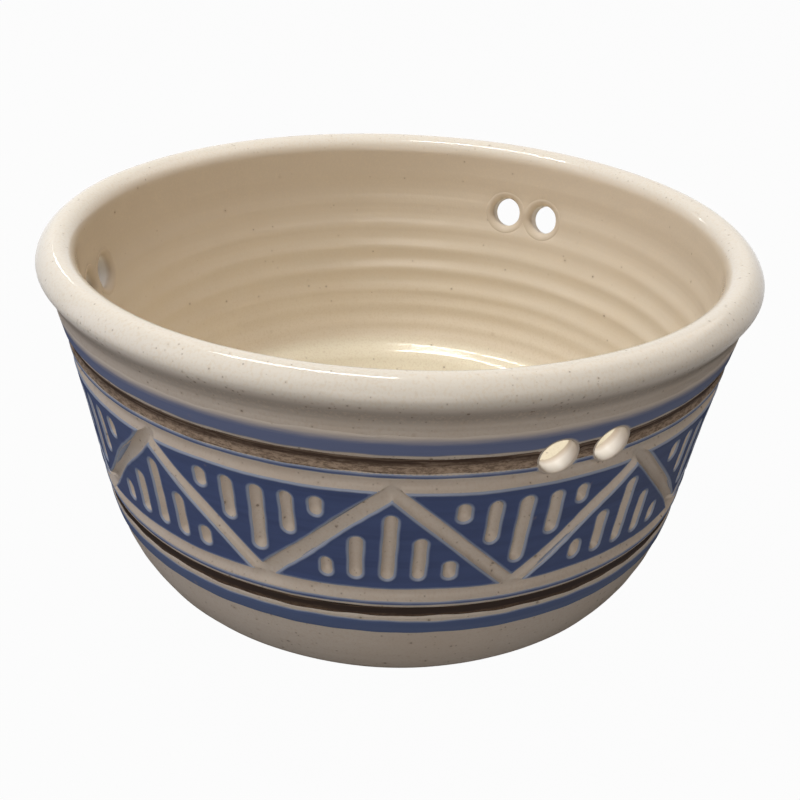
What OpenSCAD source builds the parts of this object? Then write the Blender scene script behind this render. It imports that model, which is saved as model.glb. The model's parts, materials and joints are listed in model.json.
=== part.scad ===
// Hanging fruit bowl: thrown stoneware with a rolled rim, painted bands, a carved slip frieze
// and three pairs of cord holes. Millimetres, +Z up, origin at the centre of the foot.
// Angles run from the front (-Y) towards +X.

/* [Bowl] */
// Outer radius at the rim
rim_r = 100; // [90:1:115]
// Height from the foot to the top of the rim
bowl_h = 103; // [95:1:125]
// Thickness of the clay wall
wall_t = 5.2; // [4:0.2:7]
// Thickness of the clay floor
floor_t = 7; // [5:0.5:10]

/* [Rim] */
// Radius of the rolled rim's section
rim_roll = 5.2; // [4.2:0.1:6.5]
// How far the roll stands out past the wall
rim_overhang = 1.8; // [1:0.1:3]
// Height of the crease between the roll and the neck
crease_h = 1.2; // [0.6:0.1:2]

/* [Wall] */
// Height of the rounded belly above the foot
belly_h = 35.5; // [25:0.5:45]
// How far the belly draws in towards the foot
belly_in = 16.8; // [10:0.2:22]
// How quickly the wall flares towards the rim
flare_power = 1.73; // [1:0.01:2.5]

/* [Foot] */
// Outer radius of the foot ring
foot_r = 62; // [54:0.5:68]
// Height of the foot ring
foot_h = 3; // [2:0.1:6]
// Width of the foot ring
foot_ring_w = 6; // [4:0.5:12]
// Draft of the foot ring's outer side
foot_draft = 2.2; // [0.5:0.1:4]
// Bevel of the foot ring's edges
foot_bevel = 0.8; // [0.3:0.1:1.5]
// Ledge under the belly, from the foot's drafted side to the wall
foot_ledge = 4; // [2:0.5:8]

/* [Inside] */
// Height of the round corner between the floor and the wall
corner_h = 32; // [20:1:45]
// Width of that corner
corner_in = 24; // [15:1:32]
// Distance between throwing ridges
ridge_pitch = 7; // [5:0.5:12]
// Height of the throwing ridges
ridge_h = 0.5; // [0.2:0.1:1]
// Depth below the rim at which the ridges begin
ridge_drop = 20; // [12:1:40]
// How softly the wall thickens into the rim
lip_blend = 0.6; // [0.3:0.1:1.5]

/* [Cord holes] */
// Radius of a cord hole
hole_r = 4.8; // [3.5:0.1:6.5]
// Distance between the two holes of a pair
hole_spacing = 14.8; // [14:0.1:24]
// Depth of the holes' centres below the rim
hole_drop = 24; // [20:0.5:32]
// Angle of the front pair of holes
front_pair_turn = 28; // [10:0.1:50]
// Angle of the back pair, set out by eye
back_pair_turn = 151.3; // [130:0.1:170]
// Angle of the left pair
left_pair_turn = 268; // [250:0.1:290]

/* [Painted bands] */
// Depth of the upper blue band below the rim
upper_band_drop = 16.2; // [13:0.2:20]
// Width of the upper blue band
upper_blue_w = 3.8; // [2:0.1:6]
// Width of the upper iron band
upper_iron_w = 3.6; // [2:0.1:6]
// Height of the lower blue band above the table
lower_band_rise = 25.9; // [20:0.1:32]
// Width of the lower blue band
lower_blue_w = 4.5; // [2:0.1:7]
// Width of the lower iron band
lower_iron_w = 3.3; // [2:0.1:6]
// Bare clay left between two bands
bare_gap = 1.4; // [0.6:0.1:3]

/* [Coats] */
// Thickness of the liner glaze
glaze_t = 0.4; // [0.2:0.1:0.8]
// Thickness of the painted blue bands
blue_t = 0.4; // [0.2:0.1:0.6]
// Depth of the turned grooves
groove_d = 0.8; // [0.5:0.1:1.5]
// Thickness of the iron oxide in the grooves
iron_t = 0.4; // [0.2:0.1:0.5]
// Thickness of the frieze slip, which is the depth of the carving
slip_t = 0.9; // [0.5:0.1:1.5]
// Bond line between a coat and the clay
seat_gap = 0.1; // [0.05:0.05:0.15]
// Clear ring between a coat and the edge of a cord hole
coat_clear = 0.7; // [0.2:0.1:1]

/* [Frieze] */
// Number of zigzag repeats around the bowl
frieze_repeats = 9; // [7:1:12]
// Width of the carved zigzag line
zigzag_w = 3.6; // [2:0.1:5]
// Width of the carved frame lines above and below the zigzag
frame_w = 3.6; // [2:0.1:5]
// Width of the slip line left outside each frame line
line_w = 1.1; // [0.6:0.1:2]
// Width of a carved tick
tick_w = 2.8; // [1.5:0.1:3.5]
// Distance between ticks
tick_pitch = 7.4; // [6:0.1:10]
// Slip left between a tick and the edge of its field
tick_margin = 3.6; // [2:0.1:5]
// Shortest tick that is carved
tick_min = 3.4; // [3:0.1:6]
// Radius of a field's corners
field_round = 1.4; // [0.5:0.1:2.5]

/* [Hidden] */
$fn = 96;
clay = "#d3c6b0";
cream = "#e5dcc8";
blue = "#3f5277";
iron = "#4b382c";

// Rim and wall
rim_z = bowl_h - rim_roll;
rim_axis_r = rim_r - rim_roll;
clay_roll = rim_roll - glaze_t;
lip_r = rim_axis_r - clay_roll;
neck_r = rim_r - rim_overhang;
base_r = foot_r + foot_draft + foot_ledge;
waist_r = base_r + belly_in;
floor_z = foot_h + floor_t;
crease_angle = 58;
glaze_angle = 45;
roll_steps = 30;
crease_z = rim_z - clay_roll * sin(crease_angle);
wall_step = 2;
corner_steps = 20;
ridge_steps = 8;

// Levels of the bands, from the neck down and from the foot up
upper_blue = [bowl_h - upper_band_drop - upper_blue_w, bowl_h - upper_band_drop];
upper_iron = [upper_blue[0] - bare_gap - upper_iron_w, upper_blue[0] - bare_gap];
top_line = [upper_iron[0] - bare_gap - line_w, upper_iron[0] - bare_gap];
lower_blue = [lower_band_rise, lower_band_rise + lower_blue_w];
lower_iron = [lower_blue[1] + bare_gap, lower_blue[1] + bare_gap + lower_iron_w];
bottom_line = [lower_iron[1] + bare_gap, lower_iron[1] + bare_gap + line_w];
field = [bottom_line[1] + frame_w, top_line[0] - frame_w];

// Stretches of the outer wall: lower end, upper end, depth cut into the wall
stretches = [
    [foot_h, lower_blue[0], 0],
    [lower_blue[0], lower_blue[1], 0],
    [lower_blue[1], lower_iron[0], 0],
    [lower_iron[0], lower_iron[1], groove_d],
    [lower_iron[1], bottom_line[0], 0],
    [bottom_line[0], bottom_line[1], slip_t],
    [bottom_line[1], field[0], slip_t],
    [field[0], field[1], slip_t],
    [field[1], top_line[0], slip_t],
    [top_line[0], top_line[1], slip_t],
    [top_line[1], upper_iron[0], 0],
    [upper_iron[0], upper_iron[1], groove_d],
    [upper_iron[1], upper_blue[0], 0],
    [upper_blue[0], upper_blue[1], 0],
    [upper_blue[1], crease_z - crease_h, 0]
];

// Cord holes
hole_z = bowl_h - hole_drop;
slope_step = 0.5;
hole_tilt = atan2(wall_r(hole_z + slope_step) - wall_r(hole_z - slope_step), 2 * slope_step);
cutter_h = 6 * wall_t;
hole_half_angle = asin(hole_spacing / 2 / wall_r(hole_z));
hole_angles = [for (turn = [front_pair_turn, back_pair_turn, left_pair_turn]) for (s = [-1, 1])
    turn + s * hole_half_angle];

// Frieze
field_count = 2 * frieze_repeats;
field_angle = 180 / frieze_repeats;
field_h = field[1] - field[0];

// Profile of the wall

// Drop of a quarter ellipse below its top, 0 above it and 1 at its foot
function round_in(height, top, z) = 1 - sqrt(1 - pow(min(1, max(0, top - z) / height), 2));

function flared_r(z) =
    waist_r + (neck_r - waist_r) * pow((z - foot_h) / (rim_z - foot_h), flare_power);

function wall_r(z) = flared_r(z) - belly_in * round_in(belly_h, foot_h + belly_h, z);

function soft_min(a, b, blend) = -blend * ln(exp(-a / blend) + exp(-b / blend));

function fade(a, b, x) = let (t = min(1, max(0, (x - a) / (b - a)))) t * t * (3 - 2 * t);

function ridge(z) = let (top = bowl_h - ridge_drop)
    ridge_h * fade(0, 2 * ridge_pitch, top - z) * fade(0, corner_h, z - floor_z)
    * (1 - cos(360 * (top - z) / ridge_pitch)) / 2;

function inner_r(z) = soft_min(flared_r(z) - wall_t, lip_r, lip_blend) + ridge(z)
    - corner_in * round_in(corner_h, floor_z + corner_h, z);

// Heights along a stretch, evenly spaced or closer together at its foot
function even(a, b, step) = let (n = max(1, ceil((b - a) / step))) [for (i = [0:n]) a + (b - a) * i / n];

function eased(a, b, n) = [for (i = [0:n]) a + (b - a) * (1 - cos(90 * i / n))];

function heights(s) = s[0] == foot_h ? eased(s[0], s[1], corner_steps) : even(s[0], s[1], wall_step);

function reversed(list) = [for (i = [len(list) - 1:-1:0]) list[i]];

// Outer wall from the foot to the crease, with its grooves and the frieze ground cut in
outer_line = [for (k = [0:len(stretches) - 1])
    let (s = stretches[k], z = heights(s), first = k > 0 && stretches[k - 1][2] == s[2] ? 1 : 0)
    for (i = [first:len(z) - 1]) [wall_r(z[i]) - s[2], z[i]]];

// Clay inside the bowl from the middle of the floor to the lip
inner_line = concat(
    [[0, floor_z]],
    [for (z = eased(floor_z, floor_z + corner_h, corner_steps)) [inner_r(z), z]],
    [for (z = even(floor_z + corner_h, rim_z, ridge_pitch / ridge_steps))
        if (z > floor_z + corner_h && z < rim_z) [inner_r(z), z]],
    [[lip_r, rim_z]]
);

// The same line at a distance into the bowl, up to where the roll of the rim begins
function offset_line(distance) = [for (i = [0:len(inner_line) - 2])
    let (a = inner_line[max(0, i - 1)], b = inner_line[i + 1])
    let (along = i == 0 ? [1, 0] : (b - a) / norm(b - a))
    inner_line[i] + distance * [-along[1], along[0]]];

// Round of the rim from under its outer side, over the top, to its inner side
function roll_arc(radius) = [for (i = [0:roll_steps])
    let (a = -glaze_angle + (180 + glaze_angle) * i / roll_steps)
    [rim_axis_r + radius * cos(a), rim_z + radius * sin(a)]];

// A coat's section: a strip of the wall between two levels
module coat_section(level, depth, thickness) {
    z = heights(level);
    inner = [for (h = z) [wall_r(h) - depth + seat_gap, h]];
    outer = [for (h = reversed(z)) [wall_r(h) - depth + thickness, h]];
    polygon(concat(inner, outer));
}

module coat(level, depth, thickness) {
    rotate_extrude() coat_section(level, depth, thickness);
}

// Cylinders through the wall at the cord holes, square to the wall
module hole_cutters(radius) {
    for (a = hole_angles)
        rotate([0, 0, a])
            translate([0, -wall_r(hole_z), hole_z])
                rotate([90 + hole_tilt, 0, 0])
                    cylinder(h = cutter_h, r = radius, center = true);
}

// Points of a round corner at b, on the way from a to c
function corner_arc(a, b, c, radius, steps = 4) =
    let (u = (a - b) / norm(a - b), v = (c - b) / norm(c - b))
    let (half = acos(u * v) / 2, middle = (u + v) / norm(u + v))
    let (centre = b + middle * radius / sin(half))
    let (start = b + u * radius / tan(half) - centre, end = b + v * radius / tan(half) - centre)
    let (from = atan2(start[1], start[0]), turn = atan2(end[1], end[0]) - from)
    let (sweep = turn > 180 ? turn - 360 : turn < -180 ? turn + 360 : turn)
    [for (i = [0:steps]) centre + radius * [cos(from + sweep * i / steps), sin(from + sweep * i / steps)]];

function rounded(points, radius) = let (n = len(points))
    [for (i = [0:n - 1]) each corner_arc(points[(i + n - 1) % n], points[i], points[(i + 1) % n], radius)];

// One carved tick: an upright stroke with round ends
module tick(x, low, high) {
    translate([x, low + tick_w / 2]) circle(d = tick_w);
    translate([x, high - tick_w / 2]) circle(d = tick_w);
    translate([x - tick_w / 2, low + tick_w / 2]) square([tick_w, high - low - tick_w]);
}

// Outline of one field, standing on its base: a triangle with upright ticks cut through it
module field_outline(base_z) {
    half_base = wall_r(base_z) * sin(field_angle);
    side = atan2(field_h, half_base);
    half_w = half_base - zigzag_w / 2 / sin(side);
    apex = half_w * tan(side);
    ticks_beside = floor(half_w / tick_pitch);
    difference() {
        polygon(rounded([[-half_w, 0], [half_w, 0], [0, apex]], field_round));
        for (k = [-ticks_beside:ticks_beside]) {
            x = k * tick_pitch;
            high = (half_w - abs(x) - tick_w / 2) * tan(side) - tick_margin / cos(side) + tick_w / 2;
            if (high - tick_margin > tick_min)
                tick(x, tick_margin, high);
        }
    }
}

module stoneware_body() {
    foot_in = foot_r - foot_ring_w;
    underside = [
        [0, foot_h], [foot_in, foot_h], [foot_in, foot_bevel], [foot_in + foot_bevel, 0],
        [foot_r - foot_bevel, 0], [foot_r, foot_bevel], [foot_r + foot_draft, foot_h]
    ];
    crease = [rim_axis_r + clay_roll * cos(crease_angle), crease_z];
    color(clay)
        difference() {
            rotate_extrude()
                polygon(concat(underside, outer_line, [crease], roll_arc(clay_roll),
                    reversed(offset_line(0))));
            hole_cutters(hole_r);
        }
}

module liner_glaze() {
    color(cream)
        difference() {
            rotate_extrude()
                polygon(concat(offset_line(seat_gap), reversed(roll_arc(clay_roll + seat_gap)),
                    roll_arc(rim_roll), reversed(offset_line(glaze_t))));
            hole_cutters(hole_r + coat_clear);
        }
}

module upper_blue_band() {
    color(blue)
        difference() {
            coat(upper_blue, 0, blue_t);
            hole_cutters(hole_r + coat_clear);
        }
}

module upper_iron_band() {
    color(iron)
        difference() {
            coat(upper_iron, groove_d, iron_t);
            hole_cutters(hole_r + coat_clear);
        }
}

module frieze_top_line() {
    color(blue)
        difference() {
            coat(top_line, slip_t, slip_t);
            hole_cutters(hole_r + coat_clear);
        }
}

// Fields stand on the lower frame line and hang from the upper one in turn
module frieze_field(i) {
    hangs = i % 2 == 0;
    color(blue)
        rotate([0, 0, (i - 1) * field_angle])
            intersection() {
                coat(field, slip_t, slip_t);
                rotate([90, 0, 0])
                    linear_extrude(height = rim_r)
                        translate([0, hangs ? field[1] : field[0]])
                            mirror([0, hangs ? 1 : 0])
                                field_outline(hangs ? field[1] : field[0]);
            }
}

module frieze_bottom_line() {
    color(blue) coat(bottom_line, slip_t, slip_t);
}

module lower_iron_band() {
    color(iron) coat(lower_iron, groove_d, iron_t);
}

module lower_blue_band() {
    color(blue) coat(lower_blue, 0, blue_t);
}

stoneware_body();
liner_glaze();
upper_blue_band();
upper_iron_band();
frieze_top_line();
for (i = [1:field_count])
    frieze_field(i);
frieze_bottom_line();
lower_iron_band();
lower_blue_band();
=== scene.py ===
"""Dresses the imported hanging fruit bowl: carved stoneware, blue slip, brushed bands, cream liner glaze."""

import json
import math

import bpy
import numpy as np
from mathutils import Matrix, Vector
from mathutils.geometry import delaunay_2d_cdt


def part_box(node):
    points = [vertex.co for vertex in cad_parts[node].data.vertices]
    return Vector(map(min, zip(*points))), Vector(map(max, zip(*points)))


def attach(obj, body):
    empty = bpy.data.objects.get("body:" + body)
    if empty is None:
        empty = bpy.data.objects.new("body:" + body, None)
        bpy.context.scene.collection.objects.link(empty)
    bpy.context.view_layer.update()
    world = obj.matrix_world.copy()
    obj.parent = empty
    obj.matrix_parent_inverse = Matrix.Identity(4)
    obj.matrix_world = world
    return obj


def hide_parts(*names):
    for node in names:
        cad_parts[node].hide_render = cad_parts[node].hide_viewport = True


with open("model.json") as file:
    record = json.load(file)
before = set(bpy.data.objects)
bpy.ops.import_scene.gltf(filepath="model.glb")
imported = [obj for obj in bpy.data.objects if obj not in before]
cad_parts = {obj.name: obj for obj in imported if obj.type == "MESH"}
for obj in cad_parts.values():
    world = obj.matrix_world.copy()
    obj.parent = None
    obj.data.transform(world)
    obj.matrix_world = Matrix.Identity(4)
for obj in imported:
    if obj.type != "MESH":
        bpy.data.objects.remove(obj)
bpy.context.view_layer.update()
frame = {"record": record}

# Sizes in mm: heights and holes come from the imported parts, the wall's curve repeats theirs

MM = 0.001
TURN = 2 * math.pi


def level(node):
    """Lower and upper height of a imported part."""
    low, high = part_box(node)
    return low.z / MM, high.z / MM


RIM_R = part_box("liner_glaze")[1].x / MM
BOWL_H = level("liner_glaze")[1]
WALL_T = 5.2
FLOOR_T = 7
RIM_ROLL = 5.2
RIM_OVERHANG = 1.8
BELLY_H = 35.5
BELLY_IN = 16.8
FLARE_POWER = 1.73
FOOT_R = 62
FOOT_H = 3
FOOT_RING_W = 6
FOOT_DRAFT = 2.2
FOOT_LEDGE = 4
FOOT_SOFT = 0.8
CORNER_H = 32
CORNER_IN = 24
LIP_BLEND = 0.6
GLAZE_T = 0.4
RIM_Z = BOWL_H - RIM_ROLL
RIM_AXIS_R = RIM_R - RIM_ROLL
LIP_R = RIM_AXIS_R - RIM_ROLL + GLAZE_T
NECK_R = RIM_R - RIM_OVERHANG
WAIST_R = FOOT_R + FOOT_DRAFT + FOOT_LEDGE + BELLY_IN
FLOOR_Z = FOOT_H + FLOOR_T
NECK_TOP = 90
CREASE_Z = 93.9
GLAZE_Z = 94.6
# Turn of the rim's outer face from level, in degrees, and how wide it bends there
FACE_TURN = (-34, 8, 25, 45, 62, 90)
FACE_BEND = (1.8, 2.2, 5, 9.5, 5, 2.6)
# Steps in each rounded corner of the foot
CORNER_STEPS = 5

# Finger lines on the bare clay outside, and fine lines in the glaze inside
FINGER_H = 0.07
FINGER_PITCH = (4.3, 1.9)
FINE_H = 0.02
FINE_PITCH = (2.3, 1.37)

# Frieze: strokes carved through the slip
REPEATS = 9
ZIGZAG_W = 3.6
TICK_W = 2.8
TICK_PITCH = 7.4
TICK_MARGIN = 3.6
TICK_MIN = 3.4
CARVE_D = 1.4
SHOULDER = 0.1
CARVE_SIDE = 1.3
BURR = 0.13
RECESS_D = 0.55
SLIP_T = 0.26
SPREAD = 0.3
BAND_T = 0.2
IRON_T = 0.16

# Cord holes
HOLES = [m for m in frame["record"]["mounts"] if m["kind"] == "bore"]
HOLE_R = HOLES[0]["dims"]["r_mm"]
HOLE_SOFT = (0.4, 1.8)
HOLE_POINTS = 44
TUBE_STEPS = 4
# Skin above and below the holes that is drawn finely inside
HOLE_REACH = 11

# The skin is unrolled from a seam at the back, halfway along a slope of the zigzag
COLUMNS = 240
BAND_COLUMNS = 810
BAND_ROW = 0.7
BAND_EDGE = (0, 0.2, 0.45, 0.75)
START = -TURN / 2 + TURN / REPEATS / 4


def smooth(a, b, x):
    """0 at a and before, 1 at b and beyond, eased between."""
    t = np.clip((x - a) / (b - a), 0, 1)
    return t * t * (3 - 2 * t)


# Outline of the bowl's skin


def round_in(height, top, z):
    """Drop of a quarter ellipse below its top, 0 above it and 1 at its foot."""
    return 1 - np.sqrt(1 - np.clip((top - z) / height, 0, 1) ** 2)


def flared_r(z):
    """Radius of the flared wall, without its belly."""
    return WAIST_R + (NECK_R - WAIST_R) * ((z - FOOT_H) / (RIM_Z - FOOT_H)) ** FLARE_POWER


def wall_r(z):
    """Radius of the clay outside."""
    return flared_r(z) - BELLY_IN * round_in(BELLY_H, FOOT_H + BELLY_H, z)


def inner_r(z):
    """Radius of the clay inside."""
    straight = flared_r(z) - WALL_T
    lipped = -LIP_BLEND * np.log(np.exp((LIP_R - straight) / LIP_BLEND) + 1) + LIP_R
    return lipped - CORNER_IN * round_in(CORNER_H, FLOOR_Z + CORNER_H, z)


class Outline:
    """Points (r, z) in mm, with the way along them and the direction out of the clay."""

    def __init__(self, points):
        points = np.array(points, float)
        apart = np.hypot(*np.diff(points, axis=0).T) > 1e-4
        self.points = points[np.r_[True, apart]]
        self.way = np.r_[0, np.cumsum(np.hypot(*np.diff(self.points, axis=0).T))]
        along = np.gradient(self.points, self.way, axis=0)
        along /= np.linalg.norm(along, axis=1)[:, None]
        self.out = np.c_[along[:, 1], -along[:, 0]]

    def radius(self, s):
        """Radius at ways along."""
        return np.interp(s, self.way, self.points[:, 0])

    def height(self, s):
        """Height at ways along."""
        return np.interp(s, self.way, self.points[:, 1])

    def place(self, turn, s, proud):
        """Points in metres at angles and ways along, standing proud of the outline."""
        r = self.radius(s) + proud * np.interp(s, self.way, self.out[:, 0])
        z = self.height(s) + proud * np.interp(s, self.way, self.out[:, 1])
        return MM * np.c_[r * np.sin(turn), -r * np.cos(turn), z]


def softened(corners):
    """A line through corners (r, z, trim), each rounded off over its trim."""
    line = []
    for i, (r, z, trim) in enumerate(corners):
        corner = np.array((r, z), float)
        if not trim:
            line.append(corner)
            continue
        before, after = (np.array(corners[j][:2], float) - corner for j in (i - 1, i + 1))
        a = corner + trim * before / np.linalg.norm(before)
        b = corner + trim * after / np.linalg.norm(after)
        for t in np.linspace(0, 1, CORNER_STEPS + 1):
            line.append((1 - t) ** 2 * a + 2 * t * (1 - t) * corner + t * t * b)
    return line


def rim_face():
    """The rim's outer face, from its under edge to its top."""
    turn = np.radians(np.linspace(FACE_TURN[0], FACE_TURN[-1], 70))
    bend = np.interp(turn, np.radians(FACE_TURN), FACE_BEND) * np.gradient(turn)
    r, z = -np.cumsum(bend * np.sin(turn)), np.cumsum(bend * np.cos(turn))
    r -= r[-1]
    z -= z[-1]
    widest = np.argmax(r)
    return np.c_[RIM_AXIS_R + RIM_ROLL * r / r[widest], RIM_Z + RIM_ROLL - RIM_ROLL * z / z[widest]]


def bowl_outline():
    """From the middle of the underside round the foot, up the wall, over the rim and down to the floor."""
    foot_in = FOOT_R - FOOT_RING_W
    foot = softened([
        (0, FOOT_H, 0),
        (foot_in, FOOT_H, FOOT_SOFT),
        (foot_in, 0, FOOT_SOFT),
        (FOOT_R, 0, FOOT_SOFT),
        (FOOT_R + FOOT_DRAFT, FOOT_H, FOOT_SOFT),
        (FOOT_R + FOOT_DRAFT + FOOT_LEDGE, FOOT_H, 0),
    ])
    belly = [FOOT_H + BELLY_H * (1 - math.cos(a)) for a in np.linspace(0, math.pi / 2, 60)]
    wall = np.arange(FOOT_H + BELLY_H, NECK_TOP, 0.5)
    face = rim_face()
    roll = [
        (RIM_AXIS_R + RIM_ROLL * math.cos(a), RIM_Z + RIM_ROLL * math.sin(a))
        for a in np.radians(np.linspace(90, 180, 40))
    ]
    neck = np.array((wall_r(NECK_TOP), NECK_TOP))
    rise = np.array((wall_r(NECK_TOP) - wall_r(NECK_TOP - 0.5), 0.5))
    turn_in = face[1] - face[0]
    reach = np.linalg.norm(face[0] - neck) / 3
    guides = [neck, neck + reach * rise / np.linalg.norm(rise)]
    guides += [face[0] - reach * turn_in / np.linalg.norm(turn_in), face[0]]
    crease = [
        (1 - t) ** 3 * guides[0]
        + 3 * t * (1 - t) ** 2 * guides[1]
        + 3 * t * t * (1 - t) * guides[2]
        + t ** 3 * guides[3]
        for t in np.linspace(0, 1, 20)
    ]
    deep = [FLOOR_Z + CORNER_H * (1 - math.sin(a)) for a in np.linspace(0, math.pi / 2, 60)]
    inside = np.r_[np.arange(RIM_Z, FLOOR_Z + CORNER_H, -0.5), deep]
    clay = Outline([*((inner_r(z), z) for z in inside), (0, FLOOR_Z)])
    return Outline([
        *foot,
        *((wall_r(z), z) for z in [*belly, *wall]),
        *crease,
        *face,
        *roll,
        *(clay.points + GLAZE_T * clay.out)[1:],
    ])


skin = bowl_outline()
TOP = int(np.argmax(skin.points[:, 1]))
LEDGE = int(np.argmax(skin.points[:, 0] > FOOT_R + FOOT_DRAFT + FOOT_LEDGE - 0.01))


def up(z):
    """Way along the skin to a height on the outside."""
    return np.interp(z, skin.points[LEDGE:TOP, 1], skin.way[LEDGE:TOP])


def down(z):
    """Way along the skin to a height on the inside."""
    return np.interp(-z, -skin.points[TOP:, 1], skin.way[TOP:])


def levels(node):
    """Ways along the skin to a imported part's lower and upper height."""
    return tuple(up(np.array(level(node))))


UPPER_BLUE = levels("upper_blue_band")
UPPER_IRON = levels("upper_iron_band")
TOP_LINE = levels("frieze_top_line")
BOTTOM_LINE = levels("frieze_bottom_line")
LOWER_IRON = levels("lower_iron_band")
LOWER_BLUE = levels("lower_blue_band")
FIELD = (levels("frieze_field_1")[0], levels("frieze_field_2")[1])
CREASE = up(CREASE_Z)
GLAZE = up(GLAZE_Z)
FLOOR_END = skin.way[-1]
CORNER_WAY = FLOOR_END - 50
REACH = float(skin.radius(np.mean(FIELD)))
HALF = REACH * TURN / REPEATS / 2
LEFT = REACH * START
RIGHT = REACH * (START + TURN)


def hole_centres():
    """Angle of each hole, and its ways along the skin outside and inside."""
    found = []
    for hole in HOLES:
        x, y, z = (v / MM for v in hole["pos_m"])
        turn = (math.atan2(x, -y) - START) % TURN + START
        slope = hole["axis"][2] / math.hypot(*hole["axis"][:2])
        off = np.abs(z + slope * (skin.points[:, 0] - math.hypot(x, y)) - skin.points[:, 1])
        off[skin.points[:, 1] < FLOOR_Z + CORNER_H] = BOWL_H
        found.append((turn, skin.way[np.argmin(off[:TOP])], skin.way[TOP + np.argmin(off[TOP:])]))
    return sorted(found)


CENTRES = hole_centres()
INNER_HOLES = np.mean([c[2] for c in CENTRES])


def hole_gap(turn, s, side):
    """Distance from the nearest cord hole's edge, outside (side 0) or inside (side 1)."""
    nearest = np.full(np.shape(s), BOWL_H)
    for centre in CENTRES:
        across = (turn - centre[0]) * skin.radius(centre[1 + side])
        nearest = np.minimum(nearest, np.hypot(across, s - centre[1 + side]) - HOLE_R)
    return nearest


def hole_ring(centre, side, gap):
    """Points (u, s) round a cord hole, in the same order outside and inside."""
    a = np.arange(HOLE_POINTS) / HOLE_POINTS * TURN
    s = centre[1 + side]
    reach = HOLE_R + gap
    rise = 1 - 2 * side
    turn = centre[0] + reach * np.cos(a) / skin.radius(s)
    return np.c_[REACH * turn, s + rise * reach * np.sin(a)]


# Carved strokes of the frieze, as (u, s) ends and half width on the unrolled wall


def ticks(centre, base, rise):
    """Upright ticks in a field, longest in the middle."""
    tall = FIELD[1] - FIELD[0]
    side = math.atan2(tall, HALF)
    half_w = HALF - ZIGZAG_W / 2 / math.sin(side)
    beside = int(half_w / TICK_PITCH)
    strokes = []
    for k in range(-beside, beside + 1):
        x = k * TICK_PITCH
        reach = (half_w - abs(x) - TICK_W / 2) * math.tan(side) - TICK_MARGIN / math.cos(side) + TICK_W / 2
        if reach - TICK_MARGIN > TICK_MIN:
            low = base + rise * (TICK_MARGIN + TICK_W / 2)
            high = base + rise * (reach - TICK_W / 2)
            strokes.append((centre + x, low, centre + x, high, TICK_W / 2))
    return strokes


def carved_strokes():
    """Frame lines, zigzag and ticks all round, and of the repeat past each side of the seam."""
    low, high = FIELD
    lines = [(BOTTOM_LINE[1], low), (high, TOP_LINE[0])]
    strokes = [
        (LEFT - 4 * HALF, (a + b) / 2, RIGHT + 4 * HALF, (a + b) / 2, (b - a) / 2)
        for a, b in lines
    ]
    for repeat in range(-REPEATS // 2 - 1, REPEATS // 2 + 2):
        u = 2 * HALF * repeat
        strokes.append((u, high, u + HALF, low, ZIGZAG_W / 2))
        strokes.append((u + HALF, low, u + 2 * HALF, high, ZIGZAG_W / 2))
        strokes += ticks(u, low, 1)
        strokes += ticks(u + HALF, high, -1)
    return np.array(strokes)


STROKES = carved_strokes()


def stroke_gap(u, s):
    """Distance from the edge of the nearest carved stroke, negative inside it."""
    gap = np.full(len(u), BOWL_H, float)
    first, last = STROKES[:, [0, 2]].min(1), STROKES[:, [0, 2]].max(1)
    for part in np.array_split(np.argsort(u), len(u) // 1500 + 1):
        if len(part):
            near = STROKES[(first < u[part].max() + HALF / 2) & (last > u[part].min() - HALF / 2)]
            p = np.c_[u[part], s[part]][:, None]
            a, b = near[:, 0:2], near[:, 2:4]
            t = np.clip(((p - a) * (b - a)).sum(-1) / ((b - a) ** 2).sum(-1), 0, 1)
            gap[part] = (np.linalg.norm(p - a - t[..., None] * (b - a), axis=-1) - near[:, 4]).min(-1)
    return gap


# Relief of the clay and the glaze over the skin, in mm


def turned(band, s, soft):
    """1 inside a turned band, 0 outside it."""
    return smooth(band[0] - soft, band[0] + soft, s) * smooth(band[1] + soft, band[1] - soft, s)


def hole_round(gap, side):
    """Depth of the soft edge round a cord hole, outside (side 0) or inside (side 1)."""
    x = np.clip(1 - np.round(gap, 3) / HOLE_SOFT[side], 0, 1)
    return HOLE_SOFT[side] * (1 - np.sqrt(1 - x * x))


def outer_relief(turn, s):
    """Clay outside: carved strokes, turned recesses, finger lines and soft hole edges."""
    frieze = (s > BOTTOM_LINE[0]) & (s < TOP_LINE[1])
    carved = np.zeros(len(s))
    gap = stroke_gap(REACH * turn[frieze], s[frieze])
    carved[frieze] = np.clip((SHOULDER - gap) / (SHOULDER + CARVE_SIDE), 0, 1)
    height = -CARVE_D * (1 - (1 - carved) ** 2) ** 0.8
    height -= RECESS_D * (turned(UPPER_IRON, s, 0.7) + turned(LOWER_IRON, s, 0.6))
    bare = smooth(LOWER_BLUE[0], LOWER_BLUE[0] - 6, s) * smooth(skin.way[LEDGE], skin.way[LEDGE] + 5, s)
    bare += smooth(UPPER_BLUE[1], UPPER_BLUE[1] + 2, s) * smooth(GLAZE, GLAZE - 4, s)
    broad = np.sin(s * TURN / FINGER_PITCH[0] + turn + 0.8 * np.sin(3 * turn))
    height += FINGER_H * bare * (broad + 0.5 * np.sin(s * TURN / FINGER_PITCH[1]))
    gap = hole_gap(turn, s, 0)
    return height * smooth(0.1, 1.5, gap) - hole_round(gap, 0)


# Crests of the finger ridges on the far wall, and the depth of the valley below each
CRESTS = (101, 90.3, 80.6, 72, 64.2, 56.3, 48.4, 42.7, 35.8, 31.2, 26.5, 21.5, 17)
VALLEYS = (0.1, 0.3, 0.5, 0.62, 0.95, 0.8, 0.35, 0.5, 0.3, 0.3, 0, 0, 0)
CREST_SOFT = 0.3
RIDGE_GAIN = 1.3
CREST_WAYS = down(np.array(CRESTS))
BED = 1.5
LINER_T = 0.15
POOL_TOP = down(31.5)
POOL_DEEP = 3.5


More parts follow.
